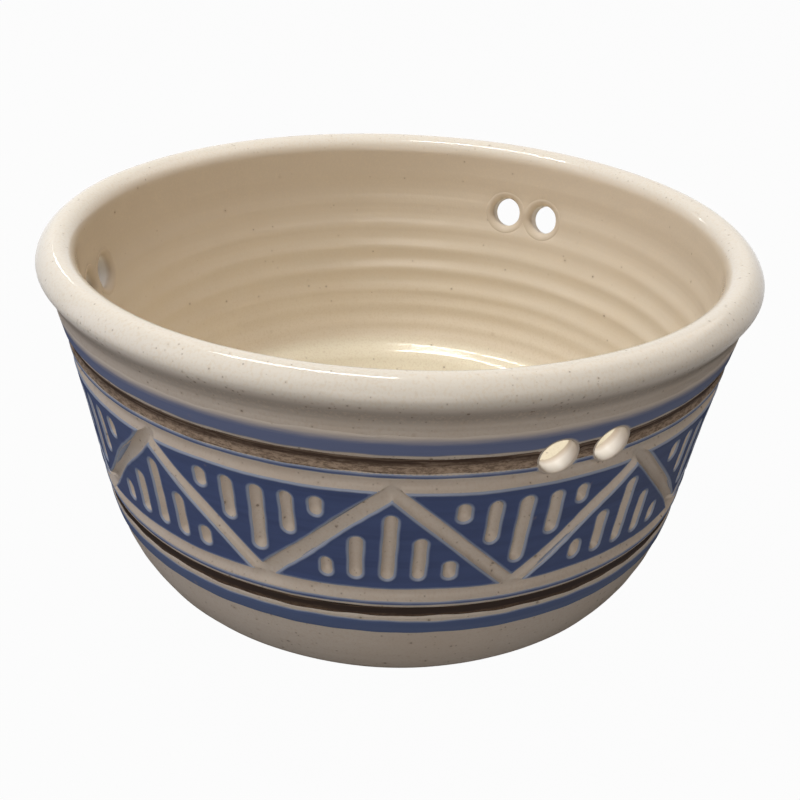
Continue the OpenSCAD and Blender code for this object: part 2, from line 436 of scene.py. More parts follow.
def liner_relief(turn, s):
    """Glaze inside: one finger ridge that winds down the wall, and glaze pooled in the corner of the floor.
    """
    wobble = 0.05 * np.sin(2 * turn + 1) + 0.025 * np.sin(5 * turn - 0.05 * s)
    wobble = wobble + 0.012 * np.sin(11 * turn + 0.1 * s)
    wind = np.interp(s, CREST_WAYS, np.arange(len(CRESTS))) - turn / TURN + 0.5 + wobble
    depth = np.interp(s, CREST_WAYS + np.gradient(CREST_WAYS) / 2, VALLEYS)
    hand = 1 + 0.15 * np.sin(3 * turn + s * 0.1) + 0.1 * np.sin(7 * turn - s * 0.2)
    depth = depth * hand * (0.66 + 0.26 * np.sin(turn))
    scallop = np.sqrt(np.sin(math.pi * wind) ** 2 + CREST_SOFT ** 2) - CREST_SOFT
    fine = np.sin(s * TURN / FINE_PITCH[0] + turn + 0.6 * np.sin(3 * turn))
    fine = fine + 0.6 * np.sin(s * TURN / FINE_PITCH[1] + 2 * turn)
    fine = fine * smooth(CREST_WAYS[0], CREST_WAYS[2], s) * smooth(FLOOR_END - 2, FLOOR_END - 24, s)
    pooled = smooth(POOL_TOP, POOL_TOP + 9, s) * smooth(FLOOR_END - 5, FLOOR_END - 45, s)
    ridges = RIDGE_GAIN * depth * scallop * smooth(GLAZE + 1, GLAZE + 8, s)
    return POOL_DEEP * pooled - ridges - FINE_H * fine


def clay_relief(turn, s):
    """The whole clay body: outside as it shows, inside as the bed of the glaze."""
    gap = hole_gap(turn, s, 1)
    near = gap < HOLE_SOFT[1] + 3
    under = -BED * smooth(HOLE_SOFT[1] + 0.3, HOLE_SOFT[1] + 3, gap) + near * liner_relief(turn, s)
    rim = smooth(GLAZE, GLAZE + 4, s)
    inside = (1 - rim) * outer_relief(turn, np.minimum(s, GLAZE)) + rim * under - hole_round(gap, 1)
    return np.where(s < GLAZE, outer_relief(turn, s), inside)


# Meshes on the unrolled skin


def spaced(points, spacing, fixed=0):
    """The points in order, without any closer than spacing to one before; the first few all stay."""
    kept, cells = [], {}
    for k, p in enumerate(points.tolist()):
        i, j = int(p[0] // spacing), int(p[1] // spacing)
        near = [q for a in (-1, 0, 1) for b in (-1, 0, 1) for q in cells.get((i + a, j + b), ())]
        if k < fixed or all(math.hypot(p[0] - q[0], p[1] - q[1]) >= spacing for q in near):
            kept.append(p)
            cells.setdefault((i, j), []).append(p)
    return np.array(kept)


def triangulate(points, keep):
    """Delaunay triangles of (u, s) points whose middles pass keep."""
    made = delaunay_2d_cdt([Vector(p) for p in points], [], [], 0, 1e-6)
    verts, faces = points[[source[0] for source in made[3]]], np.array(made[2])
    middle = verts[faces].mean(1)
    faces = faces[keep(middle[:, 0], middle[:, 1])]
    used, index = np.unique(faces, return_inverse=True)
    return verts[used], index.reshape(-1, 3)


def stroke_rows(gaps, spacing):
    """Rows of points along the strokes at distances from their edges."""
    rows = []
    for u0, s0, u1, s1, half in STROKES:
        a, b = np.array((u0, s0)), np.array((u1, s1))
        length = np.linalg.norm(b - a)
        along = (b - a) / length
        side = np.array((-along[1], along[0]))
        t = np.linspace(0, length, max(2, round(length / spacing)))[:, None]
        for gap in (*gaps, -half):
            off = half + gap
            if off < 0:
                continue
            line = a + t * along
            round_end = np.radians(np.linspace(-80, 80, max(3, round(3 * off / spacing))))[:, None]
            cap = off * (np.cos(round_end) * along + np.sin(round_end) * side)
            cap_back = off * (-np.cos(round_end) * along + np.sin(round_end) * side)
            points = np.r_[line + off * side, line - off * side, b + cap, a + cap_back]
            points = points[(points[:, 0] > LEFT - HALF) & (points[:, 0] < RIGHT + HALF)]
            true = stroke_gap(points[:, 0], points[:, 1])
            rows.append(points[np.abs(true - gap) < 0.06])
    return np.concatenate(rows)


def level_rows(ways, spacing):
    """Rows of points round the bowl at given ways, every other row shifted."""
    count = round((RIGHT - LEFT) / spacing)
    rows = []
    for i, s in enumerate(ways):
        u = LEFT + (np.arange(count) + 0.5 * (i % 2)) * (RIGHT - LEFT) / count
        rows.append(np.c_[u, np.full(count, s)])
    return np.concatenate(rows)


def grid(ways):
    """Rows of quads round the bowl at given ways: (turn, s) points and faces."""
    turn = START + np.arange(COLUMNS + 1) / COLUMNS * TURN
    verts = np.array([(a, s) for s in ways for a in turn])
    wide = COLUMNS + 1
    faces = [
        (i * wide + j, i * wide + j + 1, (i + 1) * wide + j + 1, (i + 1) * wide + j)
        for i in range(len(ways) - 1)
        for j in range(COLUMNS)
    ]
    return verts, faces


def patch(low, high, rows, side, rings, step):
    """A triangulated stretch of the skin, open at the cord holes from the first of the rings inwards."""
    columns = LEFT + np.arange(COLUMNS + 1) / COLUMNS * (RIGHT - LEFT)
    ways = np.linspace(low, high, round((high - low) / step) + 1)
    fixed = [(u, s) for s in (low, high) for u in columns]
    fixed += [(u, s) for u in (LEFT, RIGHT) for s in ways[1:-1]]
    fixed = np.concatenate([np.array(fixed), *(hole_ring(c, side, gap) for c in CENTRES for gap in rings)])
    inside = (rows[:, 0] > LEFT + step / 2) & (rows[:, 0] < RIGHT - step / 2)
    inside &= (rows[:, 1] > low + step / 2) & (rows[:, 1] < high - step / 2)
    inside &= hole_gap(rows[:, 0] / REACH, rows[:, 1], side) > rings[-1] + 0.3
    points = spaced(np.r_[fixed, rows[inside]], 0.14 * step, len(fixed))
    verts, faces = triangulate(points, lambda u, s: hole_gap(u / REACH, s, side) > rings[0] - 0.03)
    return np.c_[verts[:, 0] / REACH, verts[:, 1]], faces.tolist()


def hole_steps(side):
    """Distances from a hole's edge at which its soft edge is drawn."""
    angles = np.radians([90, 70, 50, 32, 15, 0])
    return [*(HOLE_SOFT[side] * (1 - np.sin(angles))), HOLE_SOFT[side] + 0.5]


def joined(parts):
    """Several stretches of skin as one, sharing the points where they meet."""
    verts = np.concatenate([v for v, _ in parts])
    faces, first = [], 0
    for part_verts, part_faces in parts:
        faces += [tuple(i + first for i in f) for f in part_faces]
        first += len(part_verts)
    index = {}
    same = np.array([index.setdefault((round(a, 6), round(s, 4)), i) for i, (a, s) in enumerate(verts)])
    return verts, [tuple(int(same[i]) for i in f) for f in faces]


def triangles(faces):
    """Faces cut into triangles."""
    return [(f[0], f[i], f[i + 1]) for f in faces for i in range(1, len(f) - 1)]


def shell(verts, faces, front, back):
    """A closed thin coat of two layers, joined along their open edges but not at the seam."""
    count = len(verts)
    faces = np.array(faces)
    edges = {(a, b) for f in faces.tolist() for a, b in zip(f, f[1:] + f[:1])}
    sides = (START, START + TURN)
    closed = [*faces.tolist(), *(faces[:, ::-1] + count).tolist()]
    for a, b in edges:
        on_side = any(abs(verts[a, 0] - t) + abs(verts[b, 0] - t) < 1e-6 for t in sides)
        if (b, a) not in edges and not on_side:
            closed.append((b, a, a + count, b + count))
    points = np.r_[skin.place(*verts.T, front), skin.place(*verts.T, back)]
    return points, closed


# Copies round the bowl, made with a geometry node tree


def add(tree, kind, inputs=None, **settings):
    """A node with its settings, and its inputs set or linked."""
    node = tree.nodes.new(kind)
    for name, value in settings.items():
        setattr(node, name, value)
    for key, value in (inputs or {}).items():
        if isinstance(value, bpy.types.NodeSocket):
            tree.links.new(value, node.inputs[key])
        else:
            node.inputs[key].default_value = value
    return node


def calc(tree, operation, *values):
    """A math node's result."""
    return add(tree, "ShaderNodeMath", dict(enumerate(values)), operation=operation).outputs[0]


def waves(tree, turn, height, parts):
    """A sum of sines round the bowl: whole waves, lean with the height, phase and size."""
    total = 0.0
    for count, lean, phase, size in parts:
        shift = calc(tree, "MULTIPLY_ADD", height, lean, phase)
        angle = calc(tree, "MULTIPLY_ADD", turn, count, shift)
        total = calc(tree, "MULTIPLY_ADD", calc(tree, "SINE", angle), size, total)
    return total


# Sway of the hand and swell of the wall in mm; noise below the level draws the wall in
SWAY = 0.42
SWELL = 0.5
SWELL_LEVEL = 0.74
LIFT_WAVES = [(5, 40, 0.4, 0.5), (14, 90, 2.1, 0.5), (31, 0, 4, 0.3), (127, 800, 1.3, 0.08)]
SLIDE_WAVES = [(4, 70, 1.9, 0.5), (17, 110, 0.3, 0.5), (26, 60, 5, 0.4), (61, 900, 0.7, 0.12)]


def hand_moved(tree, given):
    """Each place, swayed by the hand where it is loose and moved in or out with the wall."""
    place = add(tree, "GeometryNodeInputPosition").outputs[0]
    x, y, z = add(tree, "ShaderNodeSeparateXYZ", {"Vector": place}).outputs
    turn = calc(tree, "ARCTAN2", x, calc(tree, "MULTIPLY", y, -1.0))
    loose = add(tree, "GeometryNodeInputNamedAttribute", {"Name": "loose"}, data_type="FLOAT").outputs[0]
    sway = calc(tree, "MULTIPLY", loose, given["Sway"])
    lift = calc(tree, "MULTIPLY", sway, waves(tree, turn, z, LIFT_WAVES))
    slide = calc(tree, "MULTIPLY", sway, waves(tree, turn, z, SLIDE_WAVES))
    slide_turn = calc(tree, "DIVIDE", slide, REACH * MM)
    about_axis = {"Vector": place, "Angle": slide_turn}
    slid = add(tree, "ShaderNodeVectorRotate", about_axis, rotation_type="Z_AXIS").outputs[0]
    noise = add(tree, "ShaderNodeTexNoise", {"Vector": place, "Scale": 22.0, "Detail": 2.0}).outputs[0]
    swell = calc(tree, "MULTIPLY", calc(tree, "SUBTRACT", noise, SWELL_LEVEL), given["Swell"])
    flat = add(tree, "ShaderNodeCombineXYZ", {"X": x, "Y": y}).outputs[0]
    outwards = add(tree, "ShaderNodeVectorMath", {0: flat}, operation="NORMALIZE").outputs[0]
    swollen = add(tree, "ShaderNodeVectorMath", {0: outwards, "Scale": swell}, operation="SCALE").outputs[0]
    lifted = add(tree, "ShaderNodeCombineXYZ", {"Z": lift}).outputs[0]
    moved = add(tree, "ShaderNodeVectorMath", {0: slid, 1: swollen}, operation="ADD").outputs[0]
    return add(tree, "ShaderNodeVectorMath", {0: moved, 1: lifted}, operation="ADD").outputs[0]


def copies_tree():
    """Copies a mesh round the axis, welds it, and lets hand work sway and the wall swell a little."""
    tree = bpy.data.node_groups.new("hand_made_copies", "GeometryNodeTree")
    sockets = tree.interface
    sockets.new_socket("Geometry", in_out="INPUT", socket_type="NodeSocketGeometry")
    for key, kind in (("Copies", "Int"), ("Sway", "Float"), ("Swell", "Float"), ("Finish", "Material")):
        sockets.new_socket(key, in_out="INPUT", socket_type="NodeSocket" + kind)
    sockets.new_socket("Geometry", in_out="OUTPUT", socket_type="NodeSocketGeometry")
    given = tree.nodes.new("NodeGroupInput").outputs
    places = add(tree, "GeometryNodeMeshLine", {"Count": given["Copies"], "Offset": (0, 0, 0)})
    step = calc(tree, "DIVIDE", TURN, given["Copies"])
    turned_by = calc(tree, "MULTIPLY", add(tree, "GeometryNodeInputIndex").outputs[0], step)
    rotation = add(tree, "ShaderNodeCombineXYZ", {"Z": turned_by}).outputs[0]
    copied = add(tree, "GeometryNodeInstanceOnPoints", {
        "Points": places.outputs[0], "Instance": given["Geometry"], "Rotation": rotation})
    real = add(tree, "GeometryNodeRealizeInstances", {"Geometry": copied.outputs[0]})
    welded = add(tree, "GeometryNodeMergeByDistance", {"Geometry": real.outputs[0], "Distance": 1e-6})
    moved = hand_moved(tree, given)
    shaped = add(tree, "GeometryNodeSetPosition", {"Geometry": welded.outputs[0], "Position": moved})
    soft = add(tree, "GeometryNodeSetShadeSmooth", {"Geometry": shaped.outputs[0]})
    dressed = {"Geometry": soft.outputs[0], "Material": given["Finish"]}
    finished = add(tree, "GeometryNodeSetMaterial", dressed)
    add(tree, "NodeGroupOutput", {"Geometry": finished.outputs[0]})
    return tree


HAND_COPIES = copies_tree()


def scene_object(name, data):
    """A new object in the scene."""
    made = bpy.data.objects.new(name, data)
    bpy.context.scene.collection.objects.link(made)
    return made


def crease_shade(s):
    """Where shade is painted into the crease under the rim."""
    return smooth(CREASE - 4.6, CREASE, s) * smooth(CREASE + 3.8, CREASE + 0.3, s)


def loose(s):
    """How far hand carving may wander: most in the middle of the frieze."""
    return smooth(BOTTOM_LINE[1], FIELD[0] + 6, s) * smooth(TOP_LINE[0], FIELD[1] - 6, s)


def piece(name, points, faces, values, copies, finish, nodes):
    """One finished piece: a shape, copied round where it repeats, riding on the bowl."""
    mesh = bpy.data.meshes.new(name + "_share")
    mesh.from_pydata(points.tolist(), [], faces)
    mesh.set_sharp_from_angle(angle=math.radians(55))
    for key, numbers in values.items():
        attribute = mesh.attributes.new(key, "FLOAT", "POINT")
        attribute.data.foreach_set("value", np.asarray(numbers, np.float32))
    share = scene_object(name + "_share", mesh)
    modifier = share.modifiers.new("copies", "NODES")
    modifier.node_group = HAND_COPIES
    settings = {"Copies": copies, "Sway": SWAY * MM, "Swell": SWELL * MM, "Finish": finish}
    for item in HAND_COPIES.interface.items_tree:
        if item.in_out == "INPUT" and item.name in settings:
            modifier[item.identifier] = settings[item.name]
    graph = bpy.context.evaluated_depsgraph_get()
    whole = bpy.data.meshes.new_from_object(share.evaluated_get(graph), depsgraph=graph)
    bpy.data.objects.remove(share)
    whole.name = name
    made = scene_object(name, whole)
    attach(made, "root")
    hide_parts(*nodes)
    return made


# Materials


def group(name, inputs, outputs):
    """A shader node group with named float inputs and outputs."""
    tree = bpy.data.node_groups.new(name, "ShaderNodeTree")
    for key, value in inputs.items():
        tree.interface.new_socket(key, in_out="INPUT", socket_type="NodeSocketFloat").default_value = value
    for key in outputs:
        tree.interface.new_socket(key, in_out="OUTPUT", socket_type="NodeSocketFloat")
    return tree, tree.nodes.new("NodeGroupInput").outputs, tree.nodes.new("NodeGroupOutput").inputs


def spread(tree, value, low, high, new_low=0.0, new_high=1.0):
    """A value mapped smoothly from one range to another."""
    inputs = {"Value": value, "From Min": low, "From Max": high, "To Min": new_low, "To Max": new_high}
    return add(tree, "ShaderNodeMapRange", inputs, interpolation_type="SMOOTHSTEP").outputs[0]


def place_noise(tree, scale, stretch=(1, 1, 1), detail=3.0, rough=0.5):
    """Noise on the piece's own coordinates, in waves per metre."""
    coords = add(tree, "ShaderNodeTexCoord").outputs["Object"]
    moved = add(tree, "ShaderNodeMapping", {"Vector": coords, "Scale": stretch}).outputs[0]
    inputs = {"Vector": moved, "Scale": scale, "Detail": detail, "Roughness": rough}
    return add(tree, "ShaderNodeTexNoise", inputs).outputs[0]


def specks_group():
    """Iron specks that burn through the glaze: a mask of round spots of mixed size."""
    tree, given, result = group("iron_specks", {"Scale": 300, "Share": 0.3, "Size": 0.2}, ["Speck", "Halo"])
    coords = add(tree, "ShaderNodeTexCoord").outputs["Object"]
    cells = add(tree, "ShaderNodeTexVoronoi", {"Vector": coords, "Scale": given["Scale"]})
    chance, spot, _ = add(tree, "ShaderNodeSeparateXYZ", {"Vector": cells.outputs["Color"]}).outputs
    there = calc(tree, "LESS_THAN", chance, given["Share"])
    reach = calc(tree, "MULTIPLY", calc(tree, "MULTIPLY_ADD", spot, spot, 0.25), given["Size"])
    core = spread(tree, calc(tree, "DIVIDE", cells.outputs["Distance"], reach), 1.0, 0.55)
    halo = spread(tree, calc(tree, "DIVIDE", cells.outputs["Distance"], reach), 2.4, 0.8)
    tree.links.new(calc(tree, "MULTIPLY", core, there), result["Speck"])
    tree.links.new(calc(tree, "MULTIPLY", halo, there), result["Halo"])
    return tree


def mottle_group():
    """Uneven glaze: slow clouds of tone, fine grain, and a skin height for the bump."""
    tree, _, result = group("glaze_mottle", {}, ["Cloud", "Grain", "Skin"])
    cloud = place_noise(tree, 45, detail=4)
    grain = place_noise(tree, 1400, detail=2)
    peel = place_noise(tree, 420, detail=2)
    pits = place_noise(tree, 1300, detail=3)
    lines = place_noise(tree, 1, (12, 12, 620), detail=3)
    tree.links.new(cloud, result["Cloud"])
    tree.links.new(grain, result["Grain"])
    skin_height = calc(tree, "MULTIPLY_ADD", peel, 0.4, calc(tree, "MULTIPLY", lines, 0.35))
    tree.links.new(calc(tree, "MULTIPLY_ADD", pits, 0.35, skin_height), result["Skin"])
    return tree


def brush_group():
    """Brush streaks along the turning: broad and fine lines, and dry breaks."""
    tree, _, result = group("brush_streaks", {}, ["Broad", "Fine", "Dry"])
    tree.links.new(place_noise(tree, 1, (9, 9, 420), detail=3), result["Broad"])
    tree.links.new(place_noise(tree, 1, (28, 28, 1900), detail=4, rough=0.6), result["Fine"])
    tree.links.new(place_noise(tree, 1, (90, 90, 1300), detail=4, rough=0.65), result["Dry"])
    return tree


SPECKS = specks_group()
MOTTLE = mottle_group()
BRUSH = brush_group()

CREAM = (0.70, 0.615, 0.505)
CREAM_WARM = (0.68, 0.575, 0.445)
# Cream darkened as painted shade, for the upper inner wall and the clay's bed
SHADED_CREAM_HIGH = (0.62, 0.53, 0.425)
# Cream lightened as painted light, for the lower inner wall
LIT_CREAM_LOW = (0.79, 0.70, 0.585)
# Paler cream of glaze pooled on the floor, made paler still as painted light
POOLED_LIT_CREAM = (0.82, 0.755, 0.61)
RIM_CREAM = (0.76, 0.71, 0.64)
TUBE_WHITE = (0.88, 0.83, 0.76)
CLAY = (0.70, 0.625, 0.55)
CLAY_WARM = (0.64, 0.54, 0.445)
# Dark tint of painted shade for the crease under the rim
CREASE_SHADE_TINT = (0.33, 0.285, 0.245)
SPECK_DARK = (0.085, 0.05, 0.032)
SPECK_TAN = (0.42, 0.30, 0.2)
HALO = 0.4
DULL = 0.6


def mix(tree, share, a, b):
    """Two colours mixed by a share."""
    node = add(tree, "ShaderNodeMix", {"Factor": share}, data_type="RGBA")
    for key, colour in ((6, a), (7, b)):
        if isinstance(colour, bpy.types.NodeSocket):
            tree.links.new(colour, node.inputs[key])
        else:
            node.inputs[key].default_value = (*colour, 1)
    return node.outputs[2]


class Finish:
    """A fired finish: builds its colour step by step, then closes with gloss and bump."""

    def __init__(self, name, colour):
        self.material = bpy.data.materials.new(name)
        self.material.use_nodes = True
        self.tree = self.material.node_tree
        self.shader = self.tree.nodes["Principled BSDF"]
        self.colour = colour
        self.mottle = self.use(MOTTLE)

    def use(self, tree, **values):
        """The outputs of a node group."""
        node = add(self.tree, "ShaderNodeGroup", node_tree=tree)
        for key, value in values.items():
            node.inputs[key].default_value = value
        return node.outputs

    def value(self, name):
        """An attribute of the mesh."""
        return add(self.tree, "ShaderNodeAttribute", attribute_name=name).outputs["Fac"]

    def tint(self, share, colour):
        """Mixes in a colour."""
        self.colour = mix(self.tree, share, self.colour, colour)

    def cloud(self, colour, low, high, most):
        """A tint in slow clouds."""
        self.tint(spread(self.tree, self.mottle["Cloud"], low, high, 0, most), colour)

    def grain(self, colour, most):
        """A tint in fine grain."""
        self.tint(spread(self.tree, self.mottle["Grain"], 0.45, 0.7, 0, most), colour)

    def above(self, low, high):
        """0 at a height in mm and 1 at another, which may be the lower one."""
        coords = add(self.tree, "ShaderNodeTexCoord").outputs["Object"]
        height = add(self.tree, "ShaderNodeSeparateXYZ", {"Vector": coords}).outputs["Z"]
        return spread(self.tree, height, low * MM, high * MM)

    def speckle(self, scale, share, size, strength, where=1.0):
        """Iron specks with a tan halo."""
        spots = self.use(SPECKS, Scale=scale, Share=share, Size=size)
        here = calc(self.tree, "MULTIPLY", where, strength)
        faint = calc(self.tree, "MULTIPLY", here, HALO)
        self.tint(calc(self.tree, "MULTIPLY", spots["Halo"], faint), SPECK_TAN)
        self.tint(calc(self.tree, "MULTIPLY", spots["Speck"], here), SPECK_DARK)

    def coat(self, weight, rough):
        """A thin clear glaze that shines where it faces the eye and stays quiet at the sides."""
        facing = add(self.tree, "ShaderNodeLayerWeight", {"Blend": 0.5}).outputs["Facing"]
        share = calc(self.tree, "MULTIPLY", calc(self.tree, "SUBTRACT", 1.0, facing), weight)
        self.tree.links.new(share, self.shader.inputs["Coat Weight"])
        self.shader.inputs["Coat Roughness"].default_value = rough

    def close(self, rough, rough_more, bump, gloss, height=None, dull=None):
        """Links the colour, roughness and bump in mm, and gives the finished material."""
        tree, shader = self.tree, self.shader
        tree.links.new(self.colour, shader.inputs["Base Color"])
        uneven = spread(tree, self.mottle["Cloud"], 0.3, 0.7, rough, rough + rough_more)
        if dull:
            uneven = calc(tree, "MULTIPLY_ADD", dull, DULL, uneven)
        tree.links.new(uneven, shader.inputs["Roughness"])
        inputs = {"Height": height or self.mottle["Skin"], "Strength": 1.0, "Distance": bump * MM}
        tree.links.new(add(tree, "ShaderNodeBump", inputs).outputs[0], shader.inputs["Normal"])
        shader.inputs["Specular IOR Level"].default_value = gloss
        return self.material


def stoneware_finish():
    """Buff clay under clear glaze, white in the bores."""
    finish = Finish("speckled_stoneware", CLAY)
    finish.cloud(CLAY_WARM, 0.42, 0.75, 0.5)
    # Painted shade darkens the crease under the rim
    finish.tint(spread(finish.tree, finish.value("crease_shade"), 0.0, 1.0, 0, 0.6), CREASE_SHADE_TINT)
    finish.speckle(900, 0.3, 0.24, 0.4)
    finish.speckle(480, 0.2, 0.22, 0.6)
    finish.speckle(230, 0.13, 0.12, 0.8)
    finish.grain(CLAY_WARM, 0.5)
    finish.tint(finish.value("tube"), TUBE_WHITE)
    # The clay's bed takes the cream darkened as painted shade
    finish.tint(finish.value("bed"), SHADED_CREAM_HIGH)
    finish.coat(0.3, 0.3)
    return finish.close(0.5, 0.1, 0.05, gloss=0)


def liner_finish():
    """Cream glaze with painted shade on its upper wall and in the crease, and painted light on its lower
    wall; it is pale where it pools on the floor, which painted light brightens further, and it thins to clay
    at its border.
    """
    finish = Finish("cream_liner_glaze", CREAM)
    finish.cloud(CREAM_WARM, 0.42, 0.75, 0.45)
    rim = finish.value("rim")
    lip = finish.value("lip")
    # Painted shade darkens the upper inner wall and painted light brightens the lower one
    finish.tint(calc(finish.tree, "MULTIPLY", finish.above(60, 92), 0.9), SHADED_CREAM_HIGH)
    finish.tint(calc(finish.tree, "MULTIPLY", finish.above(60, 26), 0.9), LIT_CREAM_LOW)
    # Glaze pooled on the floor is paler, and painted light brightens it further
    finish.tint(finish.above(33, 28), POOLED_LIT_CREAM)
    finish.tint(calc(finish.tree, "MULTIPLY", rim, 0.9), RIM_CREAM)
    finish.grain(CREAM_WARM, 0.4)
    finish.tint(spread(finish.tree, lip, 0.5, 1.0), CLAY)
    # Painted shade darkens the crease under the rim
    finish.tint(spread(finish.tree, finish.value("crease_shade"), 0.0, 1.0, 0, 0.6), CREASE_SHADE_TINT)
    finish.speckle(950, 0.25, 0.24, 0.4, rim)
    finish.speckle(800, 0.45, 0.3, 0.55, lip)
    finish.speckle(480, 0.1, 0.18, 0.35)
    finish.speckle(230, 0.06, 0.1, 0.5)
    return finish.close(0.07, 0.05, 0.06, gloss=0.22, dull=lip)


def slip_finish(name, colour, deep, pale, edge_reach, pale_share, fade=None):
    """Blue slip in brushed streaks, pale at the edges where it thins and, on the frieze and lower band, where
    a highlight is painted along them, and upwards from fade on.
    """
    finish = Finish(name, colour)
    streaks = finish.use(BRUSH)
    finish.tint(spread(finish.tree, streaks["Broad"], 0.3, 0.75, 0, 0.6), deep)
    # Pale edges: thinned slip, and on the frieze and lower band also a painted highlight along the edges
    finish.tint(spread(finish.tree, finish.value("edge"), edge_reach, 0.12, 0, pale_share), pale)
    if fade:
        drift = calc(finish.tree, "SUBTRACT", streaks["Dry"], 0.5)
        across = calc(finish.tree, "MULTIPLY_ADD", drift, 0.25, finish.value("across"))
        finish.tint(spread(finish.tree, across, fade, 1.0, 0, 0.95), CLAY)
    finish.speckle(300, 0.08, 0.14, 0.5)
    finish.coat(0.4, 0.12)
    return finish.close(0.3, 0.1, 0.03, gloss=0)


def iron_finish(name, dark, tan, pool_low, pool_high, worn):
    """Iron oxide brushed over the turning clay: it pools to a dark line and wears to tan grain."""
    finish = Finish(name, dark)
    tree = finish.tree
    streaks = finish.use(BRUSH)
    ragged = calc(tree, "MULTIPLY_ADD", streaks["Dry"], 0.9, calc(tree, "MULTIPLY", streaks["Fine"], 0.5))
    across = calc(tree, "MULTIPLY_ADD", calc(tree, "SUBTRACT", ragged, 0.7), 0.9, finish.value("across"))
    body = calc(tree, "MULTIPLY", spread(tree, across, pool_high, pool_low), worn)
    line = spread(tree, across, -0.25, 0.04)
    grain = spread(tree, place_noise(tree, 1, (520, 520, 1500), detail=5, rough=0.75), 0.4, 0.58)
    thin = spread(tree, across, 0.82, 1.0, 0, 0.4)
    bared = calc(tree, "MULTIPLY", body, line)
    finish.tint(calc(tree, "MULTIPLY", bared, calc(tree, "MULTIPLY_ADD", grain, 0.62, 0.38)), tan)
    finish.tint(thin, tan)
    finish.tint(spread(tree, finish.value("edge"), 0.3, 0.05, 0, 0.6), CLAY_WARM)
    finish.coat(0.25, 0.35)
    return finish.close(0.5, 0.2, 0.1, gloss=0, height=ragged)


STONEWARE = stoneware_finish()
LINER = liner_finish()
# The frieze's light blue edge colour is thinned slip and partly a painted highlight along the carved edges
FRIEZE_BLUE = slip_finish(
    "frieze_slip", (0.064, 0.1, 0.255), (0.043, 0.067, 0.185), (0.42, 0.48, 0.62), 0.95, 0.9)
UPPER_BLUE_SLIP = slip_finish(
    "upper_blue_slip", (0.165, 0.205, 0.37), (0.125, 0.16, 0.305), CLAY, 0.9, 0.75, 0.52)
# The lower band's light blue edge colour is thinned slip and partly a painted highlight
LOWER_BLUE_SLIP = slip_finish(
    "lower_blue_slip", (0.093, 0.14, 0.3), (0.063, 0.098, 0.23), (0.45, 0.5, 0.6), 0.75, 0.85)
UPPER_IRON_WASH = iron_finish(
    "upper_iron_wash", (0.06, 0.034, 0.022), (0.47, 0.355, 0.265), 0.2, 0.8, 1.0)
LOWER_IRON_WASH = iron_finish(
    "lower_iron_wash", (0.035, 0.02, 0.014), (0.33, 0.225, 0.15), -0.1, 0.4, 0.4)


# Pieces


def steps(*stretches):
    """Ways along the skin: each stretch is (start, end, spacing)."""
    ways = []
    for start, end, spacing in stretches:
        count = max(1, round((end - start) / spacing))
        ways += np.linspace(start, end, count + 1).tolist()
    return sorted(set(np.round(ways, 5)))


def lower_ways(end):
    """Ways of the rows from the middle of the underside up to the frieze."""
    belly = float(skin.way[LEDGE])
    foot = skin.way[skin.way < belly]
    groove, groove_end = LOWER_IRON
    return sorted({
        *np.linspace(0, foot[1], 7)[:-1], *foot[1:],
        *steps((belly, LOWER_BLUE[0], 1.7), (LOWER_BLUE[0], groove - 0.8, 1.2)),
        *steps((groove - 0.6, groove + 0.6, 0.3), (groove + 0.6, groove_end - 0.6, 0.7)),
        *steps((groove_end - 0.6, groove_end + 0.6, 0.3), (groove_end + 0.6, end, 0.7)),
    })


def frieze_rows(low, high):
    """Rows of points on the clay outside: close along strokes and groove edges, wider elsewhere."""
    groove, groove_end = UPPER_IRON
    plain = np.concatenate([
        level_rows(steps((TOP_LINE[0], groove - 0.7, 0.8)), 1.3),
        level_rows(steps((groove - 0.7, groove + 0.7, 0.35)), 1.3),
        level_rows(steps((groove + 1, groove_end - 1, 0.9)), 1.3),
        level_rows(steps((groove_end - 0.7, groove_end + 0.7, 0.35)), 1.3),
        level_rows(steps((groove_end + 1.2, high, 1.2)), 1.5),
        level_rows(steps((low, BOTTOM_LINE[1], 0.6)), 1.4),
        level_rows(steps((FIELD[0], FIELD[1], 2.6)), 3.0),
    ])
    plain = plain[stroke_gap(*plain.T) > 0.85]
    return np.r_[stroke_rows((SHOULDER, -0.1, -0.35, -0.7, -1.1), 0.6), plain]


def bore_rings(centre):
    """Rings of points in a cord hole, from the outside of the wall to the inside."""
    rings = (hole_ring(centre, side, 0) / (REACH, 1) for side in (0, 1))
    outer, inner = (skin.place(*ring.T, clay_relief(*ring.T)) for ring in rings)
    return [outer + (inner - outer) * t for t in np.linspace(0, 1, TUBE_STEPS + 1)]


